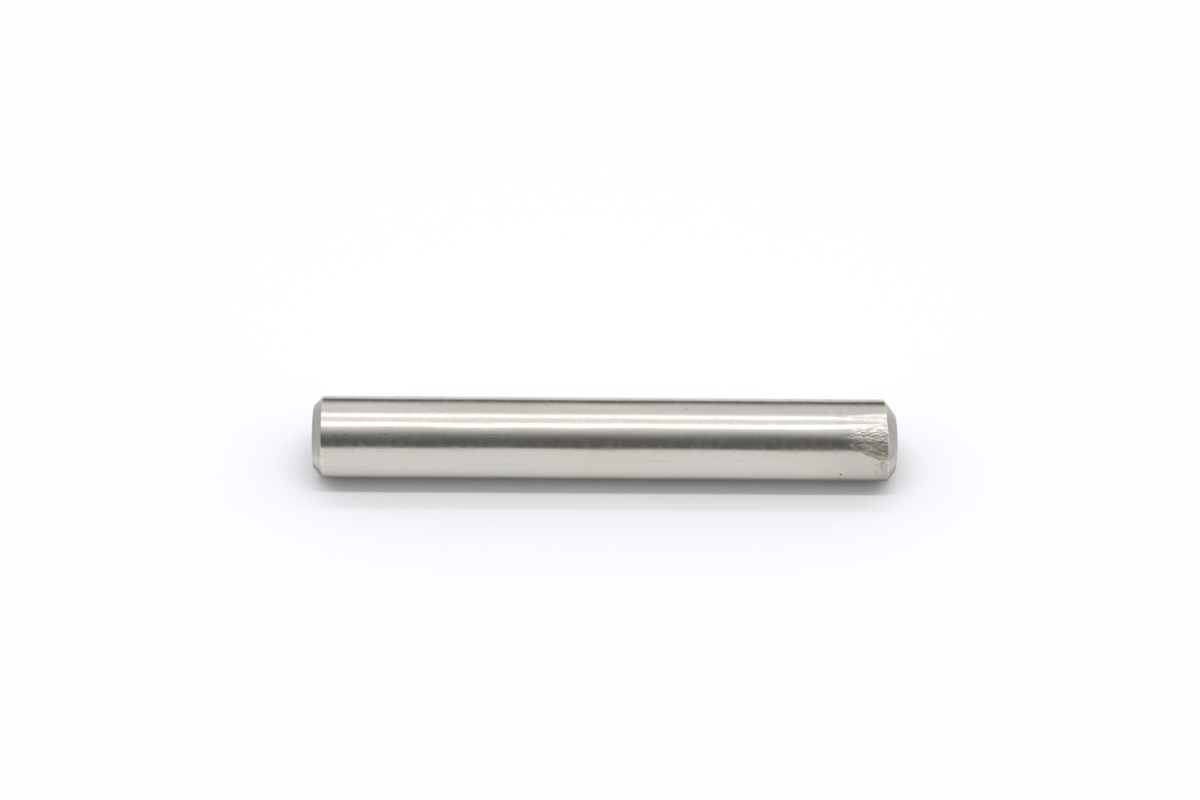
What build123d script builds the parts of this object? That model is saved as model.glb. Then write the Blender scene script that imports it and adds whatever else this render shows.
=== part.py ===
from build123d import *
from math import cos, radians, sin
import os

os.makedirs("parts", exist_ok=True)

# A worn ground steel dowel pin, in millimetres. It stands on its square end with its axis on +Z,
# and the origin is the centre of that end. The worn end is on top, and its gouge faces -Y.

# Body
pin_diameter = 12.0
pin_length = 85.0

# Square end, which the pin stands on
foot_chamfer = 1.4
foot_edge_round = 0.15

# Worn end: its lead was ground off the pin's axis, so it is deeper on the -X side
lead_height = 1.18
lead_depth = 1.8
lead_offset = 0.45
lead_edge_round = 0.2

# Gouge: a trough that starts at a point on the wall, turns a little and opens over the lead
gouge_reach = 6.2
gouge_depth = 0.34
gouge_nose_radius = 4.0
gouge_tip_radius = 0.1
gouge_turn_deg = 9.0

# Scuff: a flat rubbed on the wall beside the gouge, deepest at the lead
scuff_reach = 7.0
scuff_depth = 0.09
scuff_angle_deg = 18.5

# How far a cutting shape runs past the surface that it leaves through
cut_overrun = 1.0

pin_radius = pin_diameter / 2
lead_base_z = pin_length - lead_height
face_radius = pin_radius - lead_depth
lead_slope = lead_height / lead_depth
shank_length = lead_base_z - lead_offset * lead_slope - foot_chamfer


def outward(angle_deg):
    """The level direction at an angle from -Y, turning towards -X."""
    return Vector(-sin(radians(angle_deg)), -cos(radians(angle_deg)), 0)


def gouge_plane(distance_out, angle_deg, height):
    """A level plane whose origin is off the axis in the direction at that angle."""
    return Plane(origin=outward(angle_deg) * distance_out + Vector(0, 0, height), z_dir=(0, 0, 1))


with BuildPart() as dowel_pin:
    # Half section of the bar with the square end's chamfer, turned about the axis
    with BuildSketch(Plane.XZ):
        with BuildLine():
            Polyline(
                (0, 0),
                (pin_radius - foot_chamfer, 0),
                (pin_radius, foot_chamfer),
                (pin_radius, pin_length),
                (0, pin_length),
                close=True,
            )
        make_face()
    revolve(axis=Axis.Z)

    # The lead is one cone about an axis of its own, which lies off the pin's axis. What the wheel
    # took away is the ring outside that cone, so its section is a triangle turned about that axis.
    ring_width = lead_depth + lead_offset + cut_overrun
    with BuildSketch(Plane(origin=(lead_offset, 0, 0), x_dir=(1, 0, 0), z_dir=(0, -1, 0))):
        with BuildLine():
            Polyline(
                (face_radius, pin_length),
                (face_radius + ring_width, pin_length - ring_width * lead_slope),
                (face_radius + ring_width, pin_length + cut_overrun),
                (face_radius, pin_length + cut_overrun),
                close=True,
            )
        make_face()
    revolve(axis=Axis((lead_offset, 0, 0), (0, 0, 1)), mode=Mode.SUBTRACT)
    foot_edge = dowel_pin.edges().filter_by(GeomType.CIRCLE).sort_by(Axis.Z)[0]
    face_edge = dowel_pin.edges().filter_by(GeomType.CIRCLE).sort_by(Axis.Z)[-1]
    fillet(foot_edge, foot_edge_round)
    fillet(face_edge, lead_edge_round)

    # The scuff is the flat that a wedge leaves: its floor starts on the wall and dips to its depth
    # where the lead begins, and the wedge goes on at that slope past the end face.
    scuff_floor_end = pin_radius - scuff_depth * (1 + (lead_height + cut_overrun) / scuff_reach)
    scuff_plane = Plane(
        origin=(0, 0, 0),
        x_dir=outward(scuff_angle_deg),
        z_dir=outward(scuff_angle_deg).cross(Vector(0, 0, 1)),
    )
    with BuildSketch(scuff_plane):
        with BuildLine():
            Polyline(
                (pin_radius, lead_base_z - scuff_reach),
                (pin_radius + cut_overrun, lead_base_z - scuff_reach),
                (pin_radius + cut_overrun, pin_length + cut_overrun),
                (scuff_floor_end, pin_length + cut_overrun),
                close=True,
            )
        make_face()
    extrude(amount=pin_radius, both=True, mode=Mode.SUBTRACT)

    # The gouge is a slanting cone that a round nose would sweep as it digs in: a small circle that
    # touches the wall at the tip, and a large one above the end face, lofted straight.
    tip_z = lead_base_z - gouge_reach
    growth = (gouge_reach + lead_height + cut_overrun) / gouge_reach
    far_nose_radius = gouge_tip_radius + (gouge_nose_radius - gouge_tip_radius) * growth
    far_turn_deg = gouge_turn_deg * (1 - growth)
    tip_centre_out = pin_radius + gouge_tip_radius
    far_centre_out = pin_radius - gouge_depth * growth + far_nose_radius
    with BuildSketch(gouge_plane(tip_centre_out, gouge_turn_deg, tip_z)):
        Circle(gouge_tip_radius)
    with BuildSketch(gouge_plane(far_centre_out, far_turn_deg, pin_length + cut_overrun)):
        Circle(far_nose_radius)
    loft(ruled=True, mode=Mode.SUBTRACT)

dowel_pin.part.label = "dowel_pin"
export_step(dowel_pin.part, "parts/dowel_pin.step")

print("volume_mm3", round(dowel_pin.part.volume, 2))
print("shank_length_mm", round(shank_length, 3))
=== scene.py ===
import math

import bpy
import numpy as np
from mathutils import Matrix, Vector


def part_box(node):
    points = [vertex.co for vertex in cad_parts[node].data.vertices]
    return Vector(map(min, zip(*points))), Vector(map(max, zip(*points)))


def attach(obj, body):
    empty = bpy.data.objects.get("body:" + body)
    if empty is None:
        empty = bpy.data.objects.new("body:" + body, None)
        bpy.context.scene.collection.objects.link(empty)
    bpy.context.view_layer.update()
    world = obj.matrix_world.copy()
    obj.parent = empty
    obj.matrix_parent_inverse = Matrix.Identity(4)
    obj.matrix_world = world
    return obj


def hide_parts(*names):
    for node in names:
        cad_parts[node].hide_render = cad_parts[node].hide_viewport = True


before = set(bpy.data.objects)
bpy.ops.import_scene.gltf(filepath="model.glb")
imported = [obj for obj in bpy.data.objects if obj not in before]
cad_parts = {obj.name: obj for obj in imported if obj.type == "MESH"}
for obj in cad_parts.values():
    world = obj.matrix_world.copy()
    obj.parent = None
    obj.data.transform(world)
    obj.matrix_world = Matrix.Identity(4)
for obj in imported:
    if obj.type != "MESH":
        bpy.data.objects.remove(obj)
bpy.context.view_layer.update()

# The frame is the standing pin: +Z along its axis, the gouge facing -Y. Shapes are worked out in
# millimetres, with angles in degrees from -Y towards -X, and are turned into metres in the mesh. A pair
# whose name ends in BELL is a bell's middle and width. Other pairs are where a step starts and ends,
# unless their comment says what they are.
MM = 0.001
MICRON = 0.000001
node_low, node_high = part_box("dowel_pin")
RADIUS = (node_high.x - node_low.x) / 2 / MM
LENGTH = node_high.z / MM
MM_PER_DEGREE = 0.105

# Square end, as in the part
FOOT_CHAMFER = 1.4

# Worn end's lead, as in the part
LEAD_HEIGHT = 1.18
LEAD_DEPTH = 1.8
LEAD_OFFSET = 0.45
LEAD_SLOPE = LEAD_HEIGHT / LEAD_DEPTH
FACE_RADIUS = RADIUS - LEAD_DEPTH
LEAD_BASE = LENGTH - LEAD_HEIGHT

# How much lower than the part's cone the lead's rim is worn: all round, and more in a bell over the
# gouge. It fades towards the end face by a power.
LEAD_WORN = 0.26
GOUGE_RIM_WORN = 0.30
GOUGE_RIM_BELL = (-3.0, 15.0)
LEAD_WORN_POWER = 1.5

# Gouge and scuff, as in the part, but for the scuff's angle: it is 4 degrees further up, as the light
# on it in the photograph shows
GOUGE_REACH = 6.2
GOUGE_DEPTH = 0.34
GOUGE_NOSE = 4.0
GOUGE_TIP = 0.1
GOUGE_TURN = 9.0
GOUGE_FROM = LEAD_BASE - GOUGE_REACH
CUT_OVERRUN = 1.0
SCUFF_REACH = 7.0
SCUFF_DEPTH = 0.09
SCUFF_ANGLE = 22.5

# Slighter flats beside the scuff, which only the light on them shows: angle, depth and reach
SMALL_FLATS = [(49.4, 0.052, 6.0), (31.4, 0.084, 6.0)]

# How far round a flat is worked out, how deep it may get past the lead's base as a share of its depth,
# and how soft the edges of the scuff, the small flats and the gouge are
FLAT_SPAN = 60.0
DEEPEST_DIP = 1.5
SCUFF_SOFTNESS = 0.004
SMALL_FLAT_SOFTNESS = 0.003
GOUGE_SOFTNESS = 0.012
TIP_SOFTNESS_SHARE = 0.05
SOFTNESS_GROWTH = 4.0

# The least share of the way up from its tip, and the least half angle, at which the gouge is worked out
GOUGE_LEAST_T = 0.0001
GOUGE_LEAST_HALF = 0.2

# Marks in the gouge. Places along it are 0 at its tip and 1 at the lead's base. Places across it are 0
# in its middle, -1 on its lower edge in the photograph and 1 on its upper.
GOUGE_STARTS = (-0.02, 0.15)
GOUGE_ENDS = (1.12, 0.9)
LOW_BULGE = 0.30
LOW_BULGE_BELL = (0.52, 0.28)
LOW_LIP_STARTS = (0.35, 0.8)
LOW_LIP_BELL = (-0.88, 0.19)
HIGH_LIP_STARTS = (0.3, 0.8)
HIGH_LIP_BELL = (1.0, 0.15)
HIGH_LIP_SHARE = 0.2
LIP_SHARE = 0.7
LIP_RISE = 0.05
GROOVE_DEPTH = 0.06
GROOVE_BELL = (-0.3, 0.3)
DRAG_DEPTH = 0.012
DRAG_SPACING = 0.6364
DRAG_LENGTH = 4.5
# Where the gouge's upper half starts and is whole: it gets more of the gouge's painted shade
UPPER_HALF = (-0.4, 0.3)

# Ridge that slants over the gouge: height and angle where it starts, degrees it turns per millimetre
RIDGE_START = (80.1, 10.3)
RIDGE_SLANT = 5.3
RIDGE_RISES = (-0.9, 0.3)
RIDGE_ENDS = (1.3, 1.0)
RIDGE_WIDTH = 1.3
RIDGE_RAGGED = 0.25

# Rubbed flat above the gouge, patch rubbed below it, and the wall that was rolled beside them
RUBBED_STARTS = (LEAD_BASE - 7.0, LEAD_BASE - 4.4)
RUBBED_LOW_EDGE = (8.5, 11.5)
RUBBED_HIGH_EDGE = (33.0, 26.0)
RUBBED_RAGGED = 0.12
RUBBED_LOSS = 0.012
PATCH_STARTS = (LEAD_BASE - 2.0, LEAD_BASE - 1.4)
PATCH_HIGH_EDGE = (-11.5, -14.5)
PATCH_LOW_EDGE = (-52.0, -40.0)
PATCH_SLANT = 2.5
PATCH_RAGGED = 0.15
PATCH_SHARE = 0.5
PATCH_LOSS = 0.008
WORN_FROM = LEAD_BASE - 8.6
ROLLED_STARTS = (WORN_FROM, WORN_FROM + 2.5)
ROLLED_LOW_EDGE = (4.0, 14.0)
ROLLED_HIGH_EDGE = (64.0, 48.0)
ROLLED_LOSS = 0.005
WAVE_LOSS = 0.006

# Ripples on the worn wall: height, wavelength along the axis and round it, and seed. The height of the
# ragged ones is in degrees, by which they shift a mark's edge. All are sums of this many waves, whose
# wavelengths are divided by a scale between these two.
WAVES = 28
WAVE_SCALES = (0.6, 1.7)
RAGGED = (2.2, 1.6, 0.735, 5)
COARSE_RUB = (0.007, 0.9, 0.5, 23)
FINE_RUB = (0.004, 0.35, 0.3, 31)
ROLLING = (0.0035, 2.2, 1.1, 47)
LONG_WAVE = (0.0045, 15.0, 4.2, 61)
DRAG_SEED = 11

# How finely the skin is divided: (place, equal steps to the next place). Columns are by angle, the
# wall's rows by height, and other rows by share of the stretch that they lie on.
COLUMNS = [(-180, 38), (-60, 24), (-28, 84), (16, 34), (40, 20), (70, 36), (180, 0)]
FOOT_FACE_ROWS = [(0.02, 6), (0.9, 4), (0.985, 3), (1.0, 0)]
FOOT_CHAMFER_ROWS = [(0.03, 3), (0.12, 6), (0.9, 4), (0.985, 0)]
WALL_ROWS = [(FOOT_CHAMFER, 4), (FOOT_CHAMFER + 0.15, 10), (FOOT_CHAMFER + 4, 62), (WORN_FROM, 0)]
WORN_ROWS = [(0.006, 130), (0.975, 8), (0.998, 1), (1.0, 0)]
LEAD_ROWS = [(0.012, 4), (0.1, 18), (0.9, 5), (1.0, 0)]
WORN_FACE_ROWS = [(0.015, 4), (0.1, 5), (0.98, 0)]
RIM_TRIES = 6

# Edges between rows closer than this are eased, the more the sharper the profile turns there
EASED_SPAN = 0.4
EASED_TURN = (0.05, 0.25)
EASED_TIMES = 3

# How wide the painted highlight and painted shade along the two rims are
WORN_RIM_WIDTH = 0.16
WORN_RIM_FROM = (FACE_RADIUS, FACE_RADIUS + 0.8)
FOOT_RIM_WIDTH = 0.14

# How the photograph looks at the pin: the direction it is seen from, the slope of the floor, the
# distance, and where the middle of the pin falls in its 1200 x 800 frame
VIEW_ANGLE = 15.5
VIEW_ELEVATION = 46.0
VIEW_YAW = 1.0
VIEW_ROLL = 0.38
VIEW_DISTANCE = 0.43
FRAME_WIDTH = 1200
FRAME_HEIGHT = 800
PIN_WIDTH_PX = 81.9
PIN_MIDDLE_PX = (604.8, 438.4)
SENSOR_MM = 36.0

# White floor card and the even white that the camera sees behind it: their colours, half the card's
# side, and how far from the pin it fades out, in metres
WHITE_CARD = (0.893, 0.902, 0.930, 1)
CARD_HALF = 0.7
CARD_FADE = (0.17, 0.30)
WHITE_ROOM = (0.943, 0.951, 0.980, 1)


def outward(angle):
    """Level directions at angles from -Y towards -X: minus the sine and minus the cosine."""
    a = np.radians(angle)
    return np.stack([-np.sin(a), -np.cos(a)], axis=-1)


def soft_min(a, b, softness):
    """The smaller of two values, with the corner where they cross rounded off: the mean, less half of
    the root of the difference squared plus the softness squared."""
    return (a + b - np.sqrt((a - b) ** 2 + softness**2)) / 2


def smooth_step(low, high, x):
    """Rises from 0 at low to 1 at high as 3t squared less 2t cubed."""
    t = np.clip((x - low) / (high - low), 0, 1)
    return t * t * (3 - 2 * t)


def hump(x, centre, width):
    """A bell of height 1: e to the minus of the square of the distance from centre over width."""
    return np.exp(-(((x - centre) / width) ** 2))


def ripples(u, v, size_u, size_v, seed):
    """Uneven ripples about 0: sine waves with seeded random directions and phases, and wavelengths near
    size_u along u and size_v along v, added up and divided by the root of half their number."""
    draw = np.random.default_rng(seed)
    turn = draw.uniform(0, 2 * np.pi, WAVES)
    scale = draw.uniform(*WAVE_SCALES, WAVES)
    phase = draw.uniform(0, 2 * np.pi, WAVES)
    height = np.zeros(np.broadcast(u, v).shape)
    for t, s, p in zip(turn, scale, phase):
        height += np.sin(2 * np.pi * s * (np.cos(t) * u / size_u + np.sin(t) * v / size_v) + p)
    return height / math.sqrt(WAVES / 2)


def gouge_circle(z):
    """Centre (x, y) and radius of the nose that dug the gouge, at each height: all three change in a
    straight line from the tip circle, which touches the wall, to the one over the end face."""
    growth = (LENGTH + CUT_OVERRUN - GOUGE_FROM) / GOUGE_REACH
    far_radius = GOUGE_TIP + (GOUGE_NOSE - GOUGE_TIP) * growth
    tip = outward(GOUGE_TURN) * (RADIUS + GOUGE_TIP)
    far = outward(GOUGE_TURN * (1 - growth)) * (RADIUS - GOUGE_DEPTH * growth + far_radius)
    t = np.maximum((z - GOUGE_FROM) / (LENGTH + CUT_OVERRUN - GOUGE_FROM), GOUGE_LEAST_T)
    centre = tip + (far - tip) * t[..., None]
    return centre, GOUGE_TIP + (far_radius - GOUGE_TIP) * t


def gouge_radius(angle, z):
    """Distance from the axis to the gouge's floor at an angle and height: the nearer root where the
    ray from the axis meets the nose circle in front of it, or far outside the pin where it misses."""
    centre, nose = gouge_circle(z)
    along = np.sum(centre * outward(angle), axis=-1)
    room = nose**2 - (np.sum(centre**2, axis=-1) - along**2)
    hit = along - np.sqrt(np.maximum(room, 0))
    met = (room > 0) & (along > 0) & (z > GOUGE_FROM)
    return np.where(met, hit, 2 * RADIUS)


def gouge_across(angle, z):
    """Place across the gouge: the angle from its middle over half the angle that it takes up, which is
    the arc cosine by the cosine rule. The lower side bulges out halfway along."""
    centre, nose = gouge_circle(z)
    far = np.hypot(centre[..., 0], centre[..., 1])
    middle = np.degrees(np.arctan2(-centre[..., 0], -centre[..., 1]))
    cosine = np.clip((RADIUS**2 + far**2 - nose**2) / (2 * RADIUS * far), -1, 1)
    half = np.degrees(np.arccos(cosine))
    across = (angle - middle) / np.maximum(half, GOUGE_LEAST_HALF)
    along = (z - GOUGE_FROM) / GOUGE_REACH
    bulge = 1 + LOW_BULGE * hump(along, *LOW_BULGE_BELL)
    return np.where(across < 0, across / bulge, across)


def rippled(angle, z, kind):
    """Ripples over the wall, of one of the kinds listed above: height times their waves."""
    height, size_along, size_round, seed = kind
    return height * ripples(z, angle * MM_PER_DEGREE, size_along, size_round, seed)


def worn(angle, z):
    """How the worn end's marks lie over the wall: how far each point is into the gouge, on its lips and
    ridge, on the rubbed flat above it, and on the patch rubbed below it, each from 0 to 1. They are
    steps and bells multiplied together, and ripples make the edges of some of them ragged."""
    along = np.maximum((z - GOUGE_FROM) / GOUGE_REACH, 0)
    across = gouge_across(angle, z)
    gouge = smooth_step(*GOUGE_STARTS, along) * smooth_step(*GOUGE_ENDS, np.abs(across))
    low_lip = smooth_step(*LOW_LIP_STARTS, along) * hump(across, *LOW_LIP_BELL)
    high_lip = smooth_step(*HIGH_LIP_STARTS, along) * hump(across, *HIGH_LIP_BELL)
    ragged = rippled(angle, z, RAGGED)
    past_start = z - RIDGE_START[0]
    ridge_angle = RIDGE_START[1] - RIDGE_SLANT * past_start
    ridge = hump(angle + RIDGE_RAGGED * ragged, ridge_angle, RIDGE_WIDTH)
    ridge = ridge * smooth_step(*RIDGE_RISES, past_start) * smooth_step(*RIDGE_ENDS, np.abs(across))
    lip = np.maximum(LIP_SHARE * (low_lip + HIGH_LIP_SHARE * high_lip), ridge)
    rubbed = smooth_step(*RUBBED_STARTS, z + RUBBED_RAGGED * ragged)
    rubbed = rubbed * smooth_step(*RUBBED_LOW_EDGE, angle + ragged)
    rubbed = rubbed * smooth_step(*RUBBED_HIGH_EDGE, angle + ragged)
    patch = smooth_step(*PATCH_STARTS, z + PATCH_RAGGED * ragged)
    patch = patch * smooth_step(*PATCH_HIGH_EDGE, angle - PATCH_SLANT * (LEAD_BASE - z))
    patch = patch * smooth_step(*PATCH_LOW_EDGE, angle)
    return gouge, lip, rubbed, patch


def dipped(z, reach, least):
    """How deep a flat lies at a height, as a share of its depth at the lead's base: a straight line."""
    return np.clip((z - (LEAD_BASE - reach)) / reach, least, DEEPEST_DIP)


def flat_radius(angle, dip, flat_angle, flat_depth):
    """Distance from the axis to a flat: the radius less its depth there, over the cosine of the angle
    from the flat's middle."""
    off_middle = np.clip(angle - flat_angle, -FLAT_SPAN, FLAT_SPAN)
    return (RADIUS - flat_depth * dip) / np.cos(np.radians(off_middle))


def wall_radius(angle, z):
    """Distance from the axis to the worn wall: the smallest of the round wall, the flats that were
    rubbed on it and the gouge's floor, with a groove, drag lines, lips and ripples laid over."""
    dip = dipped(z, SCUFF_REACH, 0)
    scuff = flat_radius(angle, dip, SCUFF_ANGLE, SCUFF_DEPTH)
    scuff = np.where((dip > 0) & (np.abs(angle - SCUFF_ANGLE) < FLAT_SPAN), scuff, 2 * RADIUS)
    radius = soft_min(RADIUS, scuff, SCUFF_SOFTNESS)
    for flat_angle, flat_depth, reach in SMALL_FLATS:
        flat = flat_radius(angle, dipped(z, reach, -1), flat_angle, flat_depth)
        radius = soft_min(radius, flat, SMALL_FLAT_SOFTNESS)
    softness = GOUGE_SOFTNESS * np.clip(SOFTNESS_GROWTH * dip, TIP_SOFTNESS_SHARE, 1)
    radius = soft_min(radius, gouge_radius(angle, z), softness)

    gouge, lip, rubbed, patch = worn(angle, z)
    across = gouge_across(angle, z)
    depth = np.clip((z - GOUGE_FROM) / GOUGE_REACH, 0, 1)
    radius = radius - GROOVE_DEPTH * depth * gouge * hump(across, *GROOVE_BELL)
    radius = radius - DRAG_DEPTH * gouge * ripples(across, z, DRAG_SPACING, DRAG_LENGTH, DRAG_SEED)
    radius = radius + LIP_RISE * depth * lip

    rub = rippled(angle, z, COARSE_RUB) + rippled(angle, z, FINE_RUB)
    rolled = smooth_step(*ROLLED_STARTS, z) * smooth_step(*ROLLED_LOW_EDGE, angle)
    rolled = rolled * smooth_step(*ROLLED_HIGH_EDGE, angle)
    radius = radius + rubbed * (rub - RUBBED_LOSS) + patch * PATCH_SHARE * (rub - PATCH_LOSS)
    radius = radius + rolled * (rippled(angle, z, ROLLING) - ROLLED_LOSS)
    return np.minimum(radius + rippled(angle, z, LONG_WAVE) - WAVE_LOSS, RADIUS)


def cone_height(radius, angle):
    """Height of the lead's cone at a distance from the pin's axis: the end face, less the slope times
    how far the point lies outside the face's own circle, whose centre is off the axis."""
    x = -radius * np.sin(np.radians(angle))
    y = -radius * np.cos(np.radians(angle))
    return LENGTH - (np.hypot(x - LEAD_OFFSET, y) - FACE_RADIUS) * LEAD_SLOPE


def rim_worn(angle):
    """How much lower than the cone the rim lies: the same all round, and a bell over the gouge."""
    return LEAD_WORN + GOUGE_RIM_WORN * hump(angle, *GOUGE_RIM_BELL)


def face_edge_radius(angle):
    """Distance from the pin's axis to the end face's circle, along a ray at each angle."""
    along = -LEAD_OFFSET * np.sin(np.radians(angle))
    return along + np.sqrt(FACE_RADIUS**2 - LEAD_OFFSET**2 + along**2)


def spread(stops):
    """Points from (place, count) stops: each stretch gets its own count of equal steps."""
    parts = [np.linspace(a, b, n, endpoint=False) for (a, n), (b, _) in zip(stops, stops[1:])]
    return np.concatenate(parts + [[stops[-1][0]]])


def skin_rows():
    """Profiles of the pin's skin from the middle of the square end to the middle of the worn end, as
    (distance from the axis, height) at every angle. Each stretch is a straight or curved run. Also given
    are how far each row is a turned end and not ground wall (1 or 0), and the height of the worn rim."""
    angle = spread(COLUMNS)[:-1]
    rows = []
    turned = []

    def add(radius, height, cut=1.0):
        rows.append(np.stack(np.broadcast_arrays(radius, height, angle)[:2]))
        turned.append(cut)

    foot_edge = RADIUS - FOOT_CHAMFER
    for t in spread(FOOT_FACE_ROWS):
        add(foot_edge * t, 0.0)
    for t in spread(FOOT_CHAMFER_ROWS):
        add(foot_edge + FOOT_CHAMFER * t, FOOT_CHAMFER * t)
    for z in spread(WALL_ROWS):
        add(wall_radius(angle, np.full_like(angle, z)), z, cut=0.0)
    rim_z = np.full_like(angle, LEAD_BASE)
    for _ in range(RIM_TRIES):
        rim_z = cone_height(wall_radius(angle, rim_z), angle) - rim_worn(angle)
    for t in spread(WORN_ROWS):
        z = WORN_FROM + (rim_z - WORN_FROM) * t
        add(wall_radius(angle, z), z, cut=0.0)
    rim = wall_radius(angle, rim_z)
    edge = face_edge_radius(angle)
    for t in spread(LEAD_ROWS):
        radius = rim + (edge - rim) * t
        add(radius, cone_height(radius, angle) - rim_worn(angle) * (1 - t) ** LEAD_WORN_POWER)
    for t in spread(WORN_FACE_ROWS):
        add(edge * (1 - t), LENGTH)
    return angle, np.array(rows), np.array(turned), rim_z


def eased(rows, times):
    """Every profile point but the first and last moved to a quarter, half, quarter mean with its
    neighbours where the profile turns, repeated; straight runs stay as they are."""
    for _ in range(times):
        step = np.diff(rows, axis=0)
        length = np.hypot(step[:, 0], step[:, 1])
        cross = step[1:, 0] * step[:-1, 1] - step[1:, 1] * step[:-1, 0]
        turn = np.abs(cross) / (length[1:] * length[:-1] + 1e-12)
        close = (length[1:] + length[:-1]) < EASED_SPAN
        pull = np.where(close, smooth_step(*EASED_TURN, turn), 0)[:, None]
        mean = (rows[:-2] + rows[2:]) / 2
        rows[1:-1] += 0.5 * pull * (mean - rows[1:-1])
    return rows


def grid_mesh(name, points, masks):
    """A closed skin from a grid of points that goes round in its second direction: four-sided faces
    between rows, and a fan to a middle point at each end. Masks become point attributes."""
    rings, count, _ = points.shape
    poles = np.stack([points[0].mean(axis=0), points[-1].mean(axis=0)])
    vertices = np.concatenate([points.reshape(-1, 3), poles]).astype(np.float32)
    here = np.arange(count)
    beside = np.roll(here, -1)
    ring = np.arange(rings - 1)[:, None] * count
    quads = np.stack([ring + here, ring + count + here, ring + count + beside, ring + beside], axis=-1)
    quads = quads.reshape(-1, 4)
    top = (rings - 1) * count
    low_fan = np.stack([here, beside, np.full(count, rings * count)], axis=-1)
    high_fan = np.stack([top + beside, top + here, np.full(count, rings * count + 1)], axis=-1)
    loops = np.concatenate([quads.ravel(), low_fan.ravel(), high_fan.ravel()]).astype(np.int32)
    sizes = np.concatenate([np.full(len(quads), 4), np.full(2 * count, 3)]).astype(np.int32)
    starts = np.concatenate([[0], np.cumsum(sizes)[:-1]]).astype(np.int32)
    mesh = bpy.data.meshes.new(name)
    mesh.vertices.add(len(vertices))
    mesh.vertices.foreach_set("co", vertices.ravel())
    mesh.loops.add(len(loops))
    mesh.loops.foreach_set("vertex_index", loops)
    mesh.polygons.add(len(sizes))
    mesh.polygons.foreach_set("loop_start", starts)
    mesh.update(calc_edges=True)
    mesh.polygons.foreach_set("use_smooth", np.ones(len(sizes), dtype=bool))
    for key, values in masks.items():
        whole = np.concatenate([values.ravel(), [values[0].mean(), values[-1].mean()]])
        layer = mesh.attributes.new(key, "FLOAT", "POINT")
        layer.data.foreach_set("value", whole.astype(np.float32))
    mesh.validate()
    piece = bpy.data.objects.new(name, mesh)
    bpy.context.scene.collection.objects.link(piece)
    return piece


def make_pin():
    """The pin's whole skin: profiles carried round the axis, with the worn end's marks kept as masks."""
    angle, rows, turned, rim_z = skin_rows()
    rows = eased(rows, EASED_TIMES)
    radius, height = rows[:, 0], rows[:, 1]
    way = outward(angle)
    points = np.stack([radius * way[:, 0], radius * way[:, 1], height], axis=-1) * MM
    around = np.broadcast_to(angle, radius.shape)
    gouge, lip, rubbed, patch = worn(around, height)
    on_wall = 1 - np.broadcast_to(turned[:, None], radius.shape)
    worn_rim = hump(height, rim_z, WORN_RIM_WIDTH) * smooth_step(*WORN_RIM_FROM, radius)
    foot_rim = hump(height, FOOT_CHAMFER, FOOT_RIM_WIDTH)
    masks = {
        "gouge": gouge * on_wall,
        "upper": smooth_step(*UPPER_HALF, gouge_across(around, height)),
        "lip": lip * on_wall,
        "rubbed": rubbed * on_wall,
        "patch": patch * on_wall,
        "turned": 1 - on_wall,
        "rim": np.maximum(worn_rim, foot_rim),
    }
    return grid_mesh("worn_pin", points, masks)


def new_group(name, inputs, outputs):
    """An empty shader node group with float inputs (name, default) and outputs (name, socket type)."""
    group = bpy.data.node_groups.new(name, "ShaderNodeTree")
    for label, value in inputs:
        socket = group.interface.new_socket(name=label, in_out="INPUT", socket_type="NodeSocketFloat")
        socket.default_value = value
    for label, kind in outputs:
        group.interface.new_socket(name=label, in_out="OUTPUT", socket_type=kind)
    return group, group.nodes.new("NodeGroupInput"), group.nodes.new("NodeGroupOutput")


def make_floor_material():
    """Matt white card that keeps shadows on its upper side, lets the view through from below, and
    fades out into the white room away from the pin."""
    material = bpy.data.materials.new("white_card")
    material.use_nodes = True
    nodes, links = material.node_tree.nodes, material.node_tree.links
    nodes.clear()
    out = nodes.new("ShaderNodeOutputMaterial")
    card = nodes.new("ShaderNodeBsdfDiffuse")
    card.inputs["Color"].default_value = WHITE_CARD
    clear = nodes.new("ShaderNodeBsdfTransparent")
    side = nodes.new("ShaderNodeNewGeometry")
    mix = nodes.new("ShaderNodeMixShader")
    here = nodes.new("ShaderNodeTexCoord")
    reach = nodes.new("ShaderNodeVectorMath")
    reach.operation = "LENGTH"
    links.new(here.outputs["Object"], reach.inputs[0])
    faded = stepped(material.node_tree, reach.outputs["Value"], *CARD_FADE)
    hidden = joined(material.node_tree, "MAXIMUM", side.outputs["Backfacing"], faded)
    links.new(hidden, mix.inputs["Fac"])
    links.new(card.outputs[0], mix.inputs[1])
    links.new(clear.outputs[0], mix.inputs[2])
    links.new(mix.outputs[0], out.inputs["Surface"])
    return material


def joined(tree, operation, first, second=None):
    """A math node whose inputs are sockets or numbers; gives its output."""
    node = tree.nodes.new("ShaderNodeMath")
    node.operation = operation
    for socket, value in zip(node.inputs, (first, second)):
        if isinstance(value, bpy.types.NodeSocket):
            tree.links.new(value, socket)
        elif value is not None:
            socket.default_value = value
    return node.outputs[0]


def product(tree, first, *others):
    """The product of sockets and numbers, the first of which is a socket."""
    running = first
    for other in others:
        running = joined(tree, "MULTIPLY", running, other)
    return running


def stepped(tree, value, low, high):
    """A map range node: 0 at low to 1 at high, eased at both ends and held outside; gives its output."""
    node = tree.nodes.new("ShaderNodeMapRange")
    node.interpolation_type = "SMOOTHSTEP"
    tree.links.new(value, node.inputs["Value"])
    node.inputs["From Min"].default_value = low
    node.inputs["From Max"].default_value = high
    return node.outputs["Result"]


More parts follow.
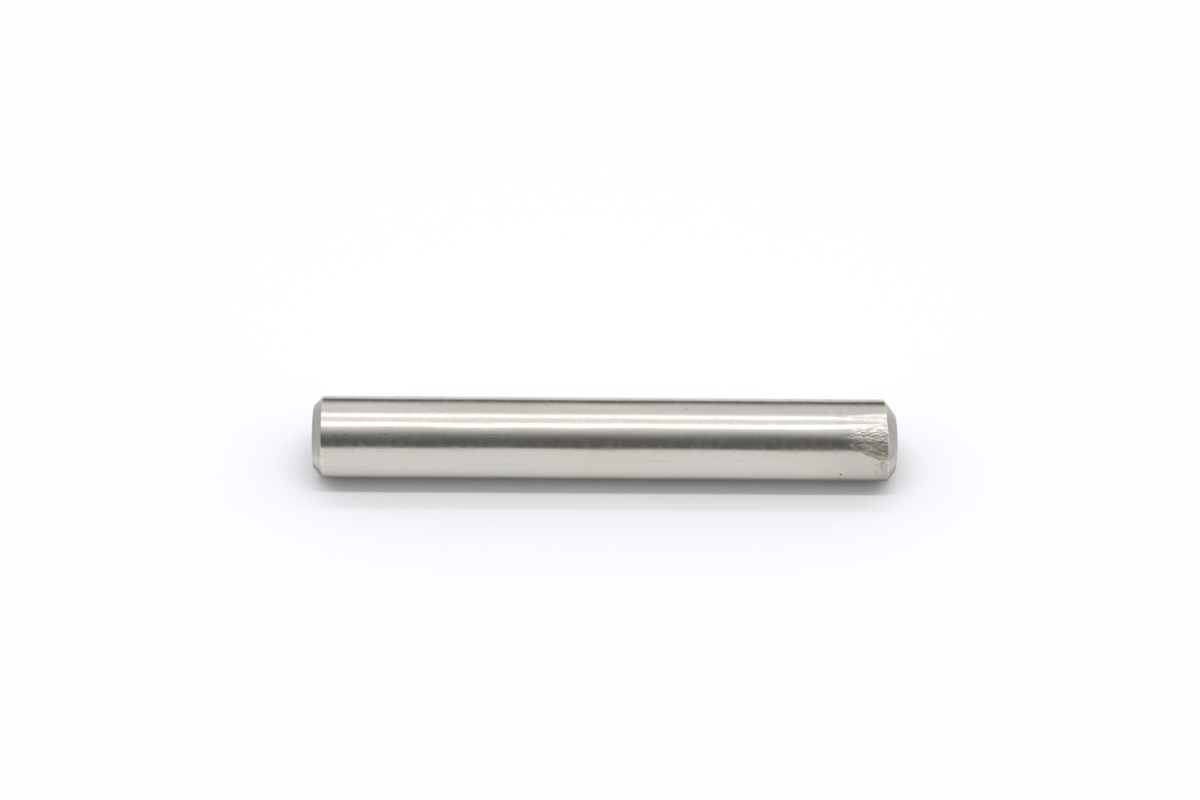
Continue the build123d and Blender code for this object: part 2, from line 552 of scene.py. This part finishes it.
def place_group():
    """Where a point lies on the pin: millimetres along the axis from the square end, and degrees round
    it from -Y towards -X, both from Object coordinates."""
    outputs = [("Along", "NodeSocketFloat"), ("Around", "NodeSocketFloat")]
    group, _, put = new_group("place_on_pin", [], outputs)
    here = group.nodes.new("ShaderNodeTexCoord")
    parts = group.nodes.new("ShaderNodeSeparateXYZ")
    group.links.new(here.outputs["Object"], parts.inputs[0])
    left = product(group, parts.outputs["X"], -1.0)
    front = product(group, parts.outputs["Y"], -1.0)
    angle = joined(group, "ARCTAN2", left, front)
    group.links.new(product(group, parts.outputs["Z"], 1 / MM), put.inputs["Along"])
    group.links.new(joined(group, "DEGREES", angle), put.inputs["Around"])
    return group


def grain_group():
    """Uneven texture from noise: finer across than along when Stretch is over 1, and finer along the
    axis than round it when Stretch is under 1. Scale is in lumps a metre. Gives values about 0.5."""
    group, take, put = new_group(
        "drawn_grain",
        [("Scale", 1000.0), ("Stretch", 1.0), ("Detail", 2.0), ("Shift", 0.0)],
        [("Value", "NodeSocketFloat")],
    )
    here = group.nodes.new("ShaderNodeTexCoord")
    parts = group.nodes.new("ShaderNodeSeparateXYZ")
    whole = group.nodes.new("ShaderNodeCombineXYZ")
    noise = group.nodes.new("ShaderNodeTexNoise")
    group.links.new(here.outputs["Object"], parts.inputs[0])
    along = joined(group, "DIVIDE", parts.outputs["Z"], take.outputs["Stretch"])
    group.links.new(parts.outputs["X"], whole.inputs["X"])
    group.links.new(parts.outputs["Y"], whole.inputs["Y"])
    group.links.new(joined(group, "ADD", along, take.outputs["Shift"]), whole.inputs["Z"])
    group.links.new(whole.outputs[0], noise.inputs["Vector"])
    group.links.new(take.outputs["Scale"], noise.inputs["Scale"])
    group.links.new(take.outputs["Detail"], noise.inputs["Detail"])
    group.links.new(noise.outputs["Fac"], put.inputs["Value"])
    return group


def turning_group():
    """Rings left by the turning tool on a face or cone: noise that depends only on the distance from
    the axis. Scale is in rings a metre. Gives values about 0.5."""
    group, take, put = new_group("turning_rings", [("Scale", 4000.0)], [("Value", "NodeSocketFloat")])
    here = group.nodes.new("ShaderNodeTexCoord")
    parts = group.nodes.new("ShaderNodeSeparateXYZ")
    noise = group.nodes.new("ShaderNodeTexNoise")
    noise.noise_dimensions = "1D"
    noise.inputs["Detail"].default_value = 2.0
    noise.inputs["Scale"].default_value = 1.0
    group.links.new(here.outputs["Object"], parts.inputs[0])
    square_x = product(group, parts.outputs["X"], parts.outputs["X"])
    square_y = product(group, parts.outputs["Y"], parts.outputs["Y"])
    out = joined(group, "SQRT", joined(group, "ADD", square_x, square_y))
    group.links.new(product(group, out, take.outputs["Scale"]), noise.inputs["W"])
    group.links.new(noise.outputs["Fac"], put.inputs["Value"])
    return group


# How ragged a small mark's edge is, where its darkening sets in, and where the ring of painted
# highlight round it starts and ends, all as shares of the mark's size
MARK_RAGGED = 1.4
MARK_EDGE = (1.0, 0.35)
RING_STARTS = (0.8, 1.1)
RING_ENDS = (1.7, 1.2)


def mark_group():
    """One small lens-shaped mark on the wall: 1 in its middle, falling to 0 at its half length along
    the axis and its half width round it, with an edge made uneven by Ragged, and the ring round it,
    which is painted as a highlight."""
    group, take, put = new_group(
        "small_mark",
        [
            ("Along", 0.0),
            ("Around", 0.0),
            ("At Along", 40.0),
            ("At Around", 0.0),
            ("Half Length", 1.0),
            ("Half Width", 2.0),
            ("Ragged", 0.5),
        ],
        [("Mask", "NodeSocketFloat"), ("Ring", "NodeSocketFloat")],
    )
    off_along = joined(group, "SUBTRACT", take.outputs["Along"], take.outputs["At Along"])
    off_around = joined(group, "SUBTRACT", take.outputs["Around"], take.outputs["At Around"])
    along = joined(group, "DIVIDE", off_along, take.outputs["Half Length"])
    around = joined(group, "DIVIDE", off_around, take.outputs["Half Width"])
    square = joined(group, "ADD", product(group, along, along), product(group, around, around))
    uneven = product(group, joined(group, "SUBTRACT", take.outputs["Ragged"], 0.5), MARK_RAGGED)
    reach = joined(group, "ADD", joined(group, "SQRT", square), uneven)
    ring = product(group, stepped(group, reach, *RING_STARTS), stepped(group, reach, *RING_ENDS))
    group.links.new(stepped(group, reach, *MARK_EDGE), put.inputs["Mask"])
    group.links.new(ring, put.inputs["Ring"])
    return group


def placed(tree, group, **values):
    """A node of the given group, its inputs set by name (with _ for a space) to sockets or numbers."""
    node = tree.nodes.new("ShaderNodeGroup")
    node.node_tree = group
    for label, value in values.items():
        socket = node.inputs[label.replace("_", " ")]
        if isinstance(value, bpy.types.NodeSocket):
            tree.links.new(value, socket)
        else:
            socket.default_value = value
    return node


def tinted(tree, amount, under, over):
    """A colour mix from under to over by amount; each colour is a socket or an (r, g, b) triple."""
    node = tree.nodes.new("ShaderNodeMix")
    node.data_type = "RGBA"
    tree.links.new(amount, node.inputs["Factor"])
    for label, colour in ((6, under), (7, over)):
        if isinstance(colour, bpy.types.NodeSocket):
            tree.links.new(colour, node.inputs[label])
        else:
            node.inputs[label].default_value = (*colour, 1)
    return node.outputs[2]


def total(tree, terms):
    """The sum of (socket, weight) terms."""
    running = None
    for socket, weight in terms:
        part = product(tree, socket, weight)
        running = part if running is None else joined(tree, "ADD", running, part)
    return running


# Small marks on the wall: place along the axis and round it, half length and half width (millimetres and
# degrees), how dark the mark is and how deep in micrometres. The last two are wide, faint smears.
WALL_MARKS = [
    (76.8, -40.5, 0.32, 3.0, 1.00, 9.0),
    (76.3, 52.0, 0.30, 1.6, 0.30, 3.0),
    (66.7, 15.0, 0.90, 1.5, 0.55, 6.0),
    (59.4, 13.5, 0.35, 1.5, 0.65, 6.0),
    (54.2, 62.0, 0.30, 1.8, 0.45, 4.0),
    (34.0, 69.5, 0.28, 1.8, 0.40, 4.0),
    (39.8, 14.0, 0.90, 1.6, 0.60, 7.0),
    (26.6, 19.0, 3.20, 1.9, 0.35, 4.0),
    (10.8, 18.5, 0.70, 2.2, 0.55, 6.0),
    (9.3, 16.0, 0.25, 2.6, 0.45, 5.0),
    (4.8, 17.5, 0.80, 2.0, 0.40, 4.0),
    (3.4, 16.5, 0.30, 2.4, 0.40, 4.0),
    (5.6, -3.5, 0.90, 0.9, 0.16, 1.5),
    (9.8, -3.5, 0.80, 0.9, 0.14, 1.5),
    (21.9, -2.0, 0.60, 0.8, 0.20, 2.0),
    (50.2, -16.5, 1.80, 3.5, 0.06, 1.0),
    (61.9, -15.0, 1.50, 3.2, 0.05, 1.0),
    (82.65, -21.0, 0.35, 13.0, 0.22, 0.0),
    (79.1, 3.5, 1.30, 5.5, 0.42, 0.0),
    (82.3, -11.5, 0.50, 3.0, 0.35, 0.0),
    (64.0, 66.0, 20.0, 16.0, 0.10, 0.0),
    (25.0, 66.0, 14.0, 16.0, 0.07, 0.0),
]

# Colours of the steel and of what stains it, as shares of red, green and blue light thrown back. The
# highlight steel is painted highlight on the rims, the rubbed flat and round the small marks, the lip
# steel is painted highlight along the gouge's lips and ridge, the olive and brown stains also carry the
# gouge's painted shade, and the near-black is the small dark marks and painted shade on one arc of
# each rim
STEEL = (0.640, 0.620, 0.582)
WARM_STEEL = (0.636, 0.604, 0.550)
HIGHLIGHT_STEEL = (0.820, 0.810, 0.745)
OLIVE_STAIN_AND_SHADE = (0.270, 0.260, 0.196)
BROWN_STAIN_AND_SHADE = (0.335, 0.288, 0.222)
TURNED_STEEL = (0.500, 0.488, 0.460)
LIP_HIGHLIGHT_STEEL = (0.790, 0.780, 0.690)
DULL_STEEL = (0.500, 0.485, 0.452)
DARK_MARK_AND_RIM_SHADE = (0.120, 0.108, 0.088)

# Grains of the steel: lumps a metre, stretch along the axis, detail and shift; and the turned ends' rings
GRAINS = {
    "rings": (900.0, 0.22, 3.0, 0.0),
    "streaks": (1500.0, 24.0, 3.0, 0.3),
    "clouds": (150.0, 2.5, 4.0, 0.7),
    "lumps": (1700.0, 1.4, 5.0, 1.1),
    "scores": (2600.0, 9.0, 4.0, 1.7),
    "speckle": (2400.0, 1.0, 3.0, 2.3),
    "ticks": (1100.0, 0.6, 2.0, 3.1),
}
TURNING_SCALE = 3200.0

# Where each tint lies: a grain's value, or a place along the axis or round it, as the name says
WARM_CLOUDS = (0.42, 0.62)
SMEAR_STREAKS = (0.56, 0.76)
DULLER_ALONG = (71.0, 80.0)
DULLER_CLOUDS = (0.10, 0.55)
TURNED_GRAIN = (0.60, 1.15)
RIM_SPECKLE = (0.38, 0.60)
WORN_END_ALONG = (30.0, 60.0)
RIM_SHADE_ARC_FROM = (3.0, 8.0)
RIM_SHADE_ARC_TO = (34.0, 27.0)
WORN_ARC_TURN = 22.0
PATCH_LUMPS = (0.30, 0.62)
RUB_HIGHLIGHT_AROUND = (19.0, 27.0)
LOW_RUB_AROUND = (13.0, 8.0)
OLIVE_LUMPS = (0.80, 0.45)
BROWN_ALONG = (80.6, 82.6)
BROWN_AROUND = (6.0, 0.0)
BROWN_SCORES = (0.25, 0.60)
LIP_HIGHLIGHT_LUMPS = (0.30, 0.60)

# How much of each tint, painted highlight and painted shade shows
SMEAR_TINT = 0.22
DULLER_TINT = 0.50
RIM_HIGHLIGHT_TINT = 0.90
RIM_SHADE_TINT = 0.22
RUB_HIGHLIGHT_TINT = 0.80
LIP_HIGHLIGHT_TINT = 0.80
RING_HIGHLIGHT_TINT = 0.25

# Roughness of the wall, and what each grain, mark and finish adds to it
ANISOTROPY = 0.35
WALL_ROUGHNESS = 0.12
TICK_GRAIN = (0.38, 0.68)
ROLLED_ALONG = (77.0, 81.5)
ROLLED_FROM = (28.0, 36.0)
ROLLED_TO = (62.0, 52.0)
TORN_AROUND = (6.0, 20.0)
ROUGHER = {
    "streaks": 0.05,
    "ticks": 0.07,
    "rolled": 0.03,
    "rubbed": 0.10,
    "torn": 0.10,
    "patch": 0.22,
    "gouge": 0.32,
    "turned": 0.16,
    "dark": 0.30,
}

# Heights of the bumps in micrometres: of the grain all over the wall, of torn metal, of scores in the
# gouge, and of the cutting marks on the turned ends
WALL_BUMPS = {"rings": 0.5, "streaks": 2.6, "lumps": 0.9, "ticks": 1.4}
TORN_BUMP = 22.0
SCORE_BUMP = 10.0
TURNED_SPECKLE_BUMP = 6.0
TURNED_RING_BUMP = 9.0

# The skin's masks, which the steel reads
MASKS = ("gouge", "upper", "lip", "rubbed", "patch", "turned", "rim")


def steel_inputs(tree):
    """What the steel's colour, roughness and bump are made from, by name: the skin's own masks, the
    grains, the place on the pin, and the wall's small marks."""
    values = {}
    for name in MASKS:
        layer = tree.nodes.new("ShaderNodeAttribute")
        layer.attribute_name = name
        values[name] = layer.outputs["Fac"]
    grain = grain_group()
    for name, (scale, stretch, detail, shift) in GRAINS.items():
        node = placed(tree, grain, Scale=scale, Stretch=stretch, Detail=detail, Shift=shift)
        values[name] = node.outputs["Value"]
    values["turning"] = placed(tree, turning_group(), Scale=TURNING_SCALE).outputs["Value"]
    place = placed(tree, place_group())
    values["along"] = place.outputs["Along"]
    values["around"] = place.outputs["Around"]
    values.update(wall_marks(tree, values["along"], values["around"], values["speckle"]))
    return values


def wall_marks(tree, along, around, ragged):
    """The small marks put together: the darkest at each point, the ring round them that is painted as a
    highlight, and the sum of their depths."""
    small_mark = mark_group()
    dark, ring_highlight, dents = None, None, None
    for at_along, at_around, half_length, half_width, shade, sunk in WALL_MARKS:
        spot = placed(
            tree,
            small_mark,
            Along=along,
            Around=around,
            At_Along=at_along,
            At_Around=at_around,
            Half_Length=half_length,
            Half_Width=half_width,
            Ragged=ragged,
        )
        shaded = product(tree, spot.outputs["Mask"], shade)
        pale = product(tree, spot.outputs["Ring"], shade)
        sink = product(tree, spot.outputs["Mask"], -sunk)
        dark = shaded if dark is None else joined(tree, "MAXIMUM", dark, shaded)
        ring_highlight = pale if ring_highlight is None else joined(tree, "MAXIMUM", ring_highlight, pale)
        dents = sink if dents is None else joined(tree, "ADD", dents, sink)
    return {"dark": dark, "ring_highlight": ring_highlight, "dents": dents}


def wall_colour(tree, values):
    """Bare ground steel: warm clouds, faint smears, a duller stretch near the worn end, and duller
    turned ends."""
    colour = tinted(tree, stepped(tree, values["clouds"], *WARM_CLOUDS), STEEL, WARM_STEEL)
    smear = product(tree, stepped(tree, values["streaks"], *SMEAR_STREAKS), SMEAR_TINT)
    colour = tinted(tree, smear, colour, DULL_STEEL)
    duller_stretch = product(
        tree,
        stepped(tree, values["along"], *DULLER_ALONG),
        stepped(tree, values["clouds"], *DULLER_CLOUDS),
        DULLER_TINT,
    )
    colour = tinted(tree, duller_stretch, colour, DULL_STEEL)
    cut_grain = joined(tree, "ADD", values["lumps"], values["turning"])
    dulled = product(tree, values["turned"], stepped(tree, cut_grain, *TURNED_GRAIN))
    return tinted(tree, dulled, colour, TURNED_STEEL)


def rim_colour(tree, values, colour):
    """Both rims over a colour: a painted highlight along them, and painted shade along one arc of each,
    which lies further round on the worn end."""
    # Painted shade along one arc of each rim, and a painted highlight along the rest of the rim
    turn = product(tree, stepped(tree, values["along"], *WORN_END_ALONG), WORN_ARC_TURN)
    arc = joined(tree, "SUBTRACT", values["around"], turn)
    dark = product(
        tree,
        stepped(tree, arc, *RIM_SHADE_ARC_FROM),
        stepped(tree, arc, *RIM_SHADE_ARC_TO),
        values["rim"],
    )
    bright = product(
        tree,
        values["rim"],
        stepped(tree, values["speckle"], *RIM_SPECKLE),
        joined(tree, "SUBTRACT", 1.0, dark),
        RIM_HIGHLIGHT_TINT,
    )
    colour = tinted(tree, bright, colour, HIGHLIGHT_STEEL)
    return tinted(tree, product(tree, dark, RIM_SHADE_TINT), colour, DARK_MARK_AND_RIM_SHADE)


def worn_colour(tree, values, colour):
    """The worn end's marks over a colour: grey worn patch, painted highlight on the rubbed flat, olive
    and brown stains in the gouge that also carry its painted shade, more on its upper half, and painted
    highlight along its lips and ridge."""
    lumps, around = values["lumps"], values["around"]
    grey = product(tree, values["patch"], stepped(tree, lumps, *PATCH_LUMPS))
    colour = tinted(tree, grey, colour, DULL_STEEL)
    # Painted highlight on the upper part of the rubbed flat
    rub_highlight = product(tree, values["rubbed"], stepped(tree, around, *RUB_HIGHLIGHT_AROUND), RUB_HIGHLIGHT_TINT)
    colour = tinted(tree, rub_highlight, colour, HIGHLIGHT_STEEL)
    low_rub = product(tree, values["rubbed"], stepped(tree, around, *LOW_RUB_AROUND))
    # The gouge is stained olive and darkened further as painted shade, more on its upper half
    upper_shade_share = joined(tree, "ADD", product(tree, values["upper"], 0.5), 0.5)
    stained_and_shaded = joined(tree, "MAXIMUM", product(tree, values["gouge"], upper_shade_share), low_rub)
    olive = product(tree, stained_and_shaded, stepped(tree, lumps, *OLIVE_LUMPS))
    colour = tinted(tree, olive, colour, OLIVE_STAIN_AND_SHADE)
    brown = product(
        tree,
        values["gouge"],
        stepped(tree, values["along"], *BROWN_ALONG),
        stepped(tree, around, *BROWN_AROUND),
        stepped(tree, values["scores"], *BROWN_SCORES),
    )
    colour = tinted(tree, brown, colour, BROWN_STAIN_AND_SHADE)
    # Painted highlight along the gouge's lips and ridge
    lip = product(tree, values["lip"], stepped(tree, lumps, *LIP_HIGHLIGHT_LUMPS), LIP_HIGHLIGHT_TINT)
    return tinted(tree, lip, colour, LIP_HIGHLIGHT_STEEL)


def steel_roughness(tree, values):
    """The wall's roughness and, on top of it, what its grains, marks and finishes add."""
    rolled = product(
        tree,
        stepped(tree, values["along"], *ROLLED_ALONG),
        stepped(tree, values["around"], *ROLLED_FROM),
        stepped(tree, values["around"], *ROLLED_TO),
    )
    torn = product(tree, values["rubbed"], stepped(tree, values["around"], *TORN_AROUND))
    ticks = stepped(tree, values["ticks"], *TICK_GRAIN)
    given = {**values, "ticks": ticks, "rolled": rolled, "torn": torn}
    added = total(tree, [(given[name], weight) for name, weight in ROUGHER.items()])
    return joined(tree, "ADD", added, WALL_ROUGHNESS)


def steel_height(tree, values):
    """Height of the fine surface in micrometres: grain and dents on the wall, torn lumps on the worn
    marks, scores in the gouge, and the cutter's marks on the turned ends."""
    height = total(tree, [(values[name], weight) for name, weight in WALL_BUMPS.items()])
    torn = joined(tree, "ADD", values["rubbed"], joined(tree, "ADD", values["patch"], values["gouge"]))
    cut = [(values["speckle"], TURNED_SPECKLE_BUMP), (values["turning"], TURNED_RING_BUMP)]
    for part in (
        values["dents"],
        product(tree, values["lumps"], TORN_BUMP, torn),
        product(tree, values["scores"], SCORE_BUMP, values["gouge"]),
        product(tree, total(tree, cut), values["turned"]),
    ):
        height = joined(tree, "ADD", height, part)
    return height


def make_steel():
    """Ground bare steel: polished wall with fine rings and drawn streaks, small marks with a ring of
    painted highlight, a stained gouge darkened further as painted shade, rubbed metal round it with a
    painted highlight, painted highlights along the gouge's lips and the rims, painted shade on one arc
    of each rim, and duller turned ends."""
    material = bpy.data.materials.new("ground_steel")
    material.use_nodes = True
    tree = material.node_tree
    tree.nodes.clear()
    out = tree.nodes.new("ShaderNodeOutputMaterial")
    steel = tree.nodes.new("ShaderNodeBsdfPrincipled")
    tree.links.new(steel.outputs[0], out.inputs["Surface"])
    steel.inputs["Metallic"].default_value = 1.0
    steel.inputs["Anisotropic"].default_value = ANISOTROPY
    tangent = tree.nodes.new("ShaderNodeTangent")
    tangent.direction_type = "RADIAL"
    tangent.axis = "Z"
    tree.links.new(tangent.outputs[0], steel.inputs["Tangent"])

    values = steel_inputs(tree)
    colour = worn_colour(tree, values, rim_colour(tree, values, wall_colour(tree, values)))
    # A painted highlight in a ring round each small mark
    colour = tinted(tree, product(tree, values["ring_highlight"], RING_HIGHLIGHT_TINT), colour, HIGHLIGHT_STEEL)
    colour = tinted(tree, values["dark"], colour, DARK_MARK_AND_RIM_SHADE)
    tree.links.new(colour, steel.inputs["Base Color"])
    tree.links.new(steel_roughness(tree, values), steel.inputs["Roughness"])
    bump = tree.nodes.new("ShaderNodeBump")
    bump.inputs["Strength"].default_value = 1.0
    bump.inputs["Distance"].default_value = MICRON
    tree.links.new(steel_height(tree, values), bump.inputs["Height"])
    tree.links.new(bump.outputs[0], steel.inputs["Normal"])
    return material


# Which way up and front lie for the floor in the photograph, seen from the pin. Both are level here.
floor_tilt = VIEW_ANGLE + 90 - VIEW_ELEVATION
floor_up = Vector((*outward(floor_tilt), 0))
floor_front = Vector((*outward(floor_tilt - 90), 0))


def make_floor():
    """A level card in the photograph, which here stands upright and touches the pin's side."""
    middle = -floor_up * (RADIUS * MM)
    ahead = floor_front * CARD_HALF
    along = Vector((0, 0, CARD_HALF))
    corners = [middle + ahead * a + along * b for a, b in ((-1, -1), (1, -1), (1, 1), (-1, 1))]
    mesh = bpy.data.meshes.new("floor_card")
    mesh.from_pydata([tuple(c) for c in corners], [], [(0, 1, 2, 3)])
    mesh.update()
    if mesh.polygons[0].normal.dot(floor_up) < 0:
        mesh.flip_normals()
    floor = bpy.data.objects.new("floor_card", mesh)
    bpy.context.scene.collection.objects.link(floor)
    floor.data.materials.append(make_floor_material())
    floor.visible_glossy = False


# The studio by height in degrees: 0 is the front horizon, 90 overhead, 180 the back horizon, and the
# floor fills what is left. Brightness is in the white floor's own terms. What the steel mirrors is a
# pale room with a dark front, two strip lamps overhead and the floor, dark where the pin shades it.
MIRRORED_LIGHT = [
    (-134, 0.10),
    (-103, 0.27),
    (-87, 0.64),
    (-79, 0.75),
    (-54, 0.93),
    (-20, 0.97),
    (13.2, 0.93),
    (19.2, 0.134),
    (38, 0.138),
    (48, 0.185),
    (57, 0.38),
    (68, 0.78),
    (77.5, 1.05),
    (80.5, 3.10),
    (84.0, 3.10),
    (87.0, 1.10),
    (103.2, 1.06),
    (106.5, 1.90),
    (114, 1.90),
    (117.5, 1.00),
    (123.5, 0.86),
    (130.5, 0.93),
    (150, 0.93),
    (159, 0.72),
    (166, 0.28),
    (171, 0.14),
    (179, 0.14),
    (184, 0.60),
    (190, 0.95),
    (226, 0.92),
]

# What falls on the floor is the same room without its strips
FLOOR_LIGHT = [
    (0, 0.04),
    (30, 0.05),
    (46, 0.50),
    (60, 1.02),
    (84, 1.10),
    (90, 0.70),
    (108, 0.66),
    (114, 0.56),
    (180, 0.52),
]

# Past the pin's ends the floor gets a plain light instead: its brightness, and how far along the axis
# and how far up a ray points where that starts and is whole
FLOOR_ENDS = 1.20
ENDS_FROM = (0.42, 0.72)
ENDS_ABOVE = (0.15, 0.40)

# What the steel mirrors past the ends of the strips, on the side of the square end and of the worn end,
# by how far up a ray points: 1 is straight up. Last, how far along the axis that starts and is whole.
FOOT_SIDE_LIGHT = [
    (-0.75, 1.30),
    (-0.45, 0.79),
    (-0.20, 0.70),
    (-0.06, 0.71),
    (0.04, 0.67),
    (0.14, 0.64),
    (0.60, 0.80),
]
WORN_SIDE_LIGHT = [
    (-0.75, 1.15),
    (-0.50, 1.00),
    (-0.35, 0.95),
    (-0.27, 0.82),
    (-0.20, 0.70),
    (0.10, 0.70),
    (0.60, 0.85),
]
SIDE_FROM = (0.45, 0.70)

# The floor as the light that the pin throws back on it finds it, in the pin's own shadow: brightness,
# its slightly warm colour, and how far down a ray points where that starts and is whole
SHADED_FLOOR = 0.20
SHADED_COLOUR = (1.0, 0.94, 0.84, 1)
SHADED_BELOW = (0.0, -0.1)

# The strip lamps as the floor gets them: height above the front horizon in degrees, and power in watts
STRIP_LAMPS = [(84.6, 2.80), (111.0, 0.85)]
STRIP_DISTANCE = 0.9
STRIP_LENGTH = 0.90
STRIP_WIDTH = 0.06


def light_ramp(tree, place, stops):
    """A background whose brightness follows (place, brightness) stops."""
    first, last = stops[0][0], stops[-1][0]
    part = joined(tree, "DIVIDE", joined(tree, "SUBTRACT", place, first), last - first)
    ramp = tree.nodes.new("ShaderNodeValToRGB")
    brightest = max(bright for _, bright in stops)
    elements = ramp.color_ramp.elements
    while len(elements) < len(stops):
        elements.new(0.5)
    for element, (at, bright) in zip(elements, stops):
        element.position = (at - first) / (last - first)
        element.color = (*[bright / brightest] * 3, 1)
    sky = tree.nodes.new("ShaderNodeBackground")
    sky.inputs["Strength"].default_value = brightest
    tree.links.new(part, ramp.inputs["Fac"])
    tree.links.new(ramp.outputs["Color"], sky.inputs["Color"])
    return sky.outputs[0]


def mixed(tree, amount, first, second):
    """A shader that goes from first to second by amount."""
    mix = tree.nodes.new("ShaderNodeMixShader")
    for socket, value in zip(mix.inputs, (amount, first, second)):
        tree.links.new(value, socket)
    return mix.outputs[0]


def make_world():
    """A plain soft studio: brightness depends on the angle above the floor and, past the ends of the
    strips, on how far up a ray points. Mirror rays see the strips, the floor gets the room without
    them, and the camera sees even white behind everything."""
    world = bpy.data.worlds.new("studio")
    bpy.context.scene.world = world
    world.use_nodes = True
    tree = world.node_tree
    tree.nodes.clear()
    place = tree.nodes.new("ShaderNodeTexCoord")
    parts = tree.nodes.new("ShaderNodeSeparateXYZ")
    tree.links.new(place.outputs["Object"], parts.inputs[0])
    shares = []
    for way in (floor_up, floor_front):
        dot = tree.nodes.new("ShaderNodeVectorMath")
        dot.operation = "DOT_PRODUCT"
        dot.inputs[1].default_value = way
        tree.links.new(place.outputs["Object"], dot.inputs[0])
        shares.append(dot.outputs["Value"])
    up, ahead = shares
    turn = joined(tree, "DEGREES", joined(tree, "ARCTAN2", up, ahead))
    start = MIRRORED_LIGHT[0][0]
    past_start = joined(tree, "FLOORED_MODULO", joined(tree, "SUBTRACT", turn, start), 360)
    height = joined(tree, "ADD", past_start, start)
    sideways = joined(tree, "ABSOLUTE", parts.outputs["Z"])
    beside = stepped(tree, sideways, *SIDE_FROM)
    seen = tree.nodes.new("ShaderNodeLightPath")
    worn_side = stepped(tree, parts.outputs["Z"], -SIDE_FROM[0], SIDE_FROM[0])
    foot_light = light_ramp(tree, up, FOOT_SIDE_LIGHT)
    worn_light = light_ramp(tree, up, WORN_SIDE_LIGHT)
    side = mixed(tree, worn_side, foot_light, worn_light)
    mirrored = mixed(tree, beside, light_ramp(tree, height, MIRRORED_LIGHT), side)
    shaded = tree.nodes.new("ShaderNodeBackground")
    shaded.inputs["Color"].default_value = SHADED_COLOUR
    shaded.inputs["Strength"].default_value = SHADED_FLOOR
    thrown_back = joined(tree, "MINIMUM", seen.outputs["Diffuse Depth"], 1.0)
    below = product(tree, thrown_back, stepped(tree, up, *SHADED_BELOW))
    mirrored = mixed(tree, below, mirrored, shaded.outputs[0])
    ends = tree.nodes.new("ShaderNodeBackground")
    ends.inputs["Strength"].default_value = FLOOR_ENDS
    past_ends = product(tree, stepped(tree, sideways, *ENDS_FROM), stepped(tree, up, *ENDS_ABOVE))
    falling = mixed(tree, past_ends, light_ramp(tree, height, FLOOR_LIGHT), ends.outputs[0])
    room = mixed(tree, seen.outputs["Is Glossy Ray"], falling, mirrored)
    white = tree.nodes.new("ShaderNodeBackground")
    white.inputs["Color"].default_value = WHITE_ROOM
    room = mixed(tree, seen.outputs["Is Camera Ray"], room, white.outputs[0])
    out = tree.nodes.new("ShaderNodeOutputWorld")
    tree.links.new(room, out.inputs["Surface"])


def make_lamps():
    """The two overhead strips, in line with the pin. They light the floor, and no mirror ray sees them."""
    middle = Vector((0, 0, LENGTH * MM / 2))
    for height, power in STRIP_LAMPS:
        angle = math.radians(height)
        towards = floor_up * math.sin(angle) + floor_front * math.cos(angle)
        data = bpy.data.lights.new("strip_lamp", "AREA")
        data.shape = "RECTANGLE"
        data.size = STRIP_LENGTH
        data.size_y = STRIP_WIDTH
        data.energy = power
        lamp = bpy.data.objects.new("strip_lamp", data)
        along = Vector((0, 0, 1))
        axes = Matrix((along, towards.cross(along), towards)).transposed()
        lamp.matrix_world = Matrix.Translation(middle + towards * STRIP_DISTANCE) @ axes.to_4x4()
        lamp.visible_glossy = False
        lamp.visible_camera = False
        bpy.context.scene.collection.objects.link(lamp)


def make_camera():
    """The photograph's camera: straight out from the pin at its viewing angle, turned a little by the
    yaw and roll, and aimed so that the pin's middle falls where it does in the photograph."""
    pixel = 2 * RADIUS * MM / PIN_WIDTH_PX
    side = Vector((*outward(VIEW_ANGLE), 0))
    up = Vector((*outward(VIEW_ANGLE + 90), 0))
    right = Vector((0, 0, 1))
    yaw = math.radians(VIEW_YAW)
    back = side * math.cos(yaw) - right * math.sin(yaw)
    right = right * math.cos(yaw) + side * math.sin(yaw)
    roll = math.radians(VIEW_ROLL)
    right, up = right * math.cos(roll) + up * math.sin(roll), up * math.cos(roll) - right * math.sin(roll)
    across = PIN_MIDDLE_PX[0] - FRAME_WIDTH / 2
    down = PIN_MIDDLE_PX[1] - FRAME_HEIGHT / 2
    aim = Vector((0, 0, LENGTH * MM / 2)) - right * (across * pixel) + up * (down * pixel)
    data = bpy.data.cameras.new("camera")
    data.sensor_width = SENSOR_MM
    data.lens = SENSOR_MM * VIEW_DISTANCE / (pixel * FRAME_WIDTH)
    data.clip_start = 0.01
    data.clip_end = 10
    camera = bpy.data.objects.new("camera", data)
    axes = Matrix((right, up, back)).transposed()
    camera.matrix_world = Matrix.Translation(aim + back * VIEW_DISTANCE) @ axes.to_4x4()
    bpy.context.scene.collection.objects.link(camera)
    bpy.context.scene.camera = camera


make_world()
make_lamps()
make_floor()
make_camera()
pin = make_pin()
pin.data.materials.append(make_steel())
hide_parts("dowel_pin")
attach(pin, "root")

bpy.context.scene.view_settings.view_transform = "Standard"
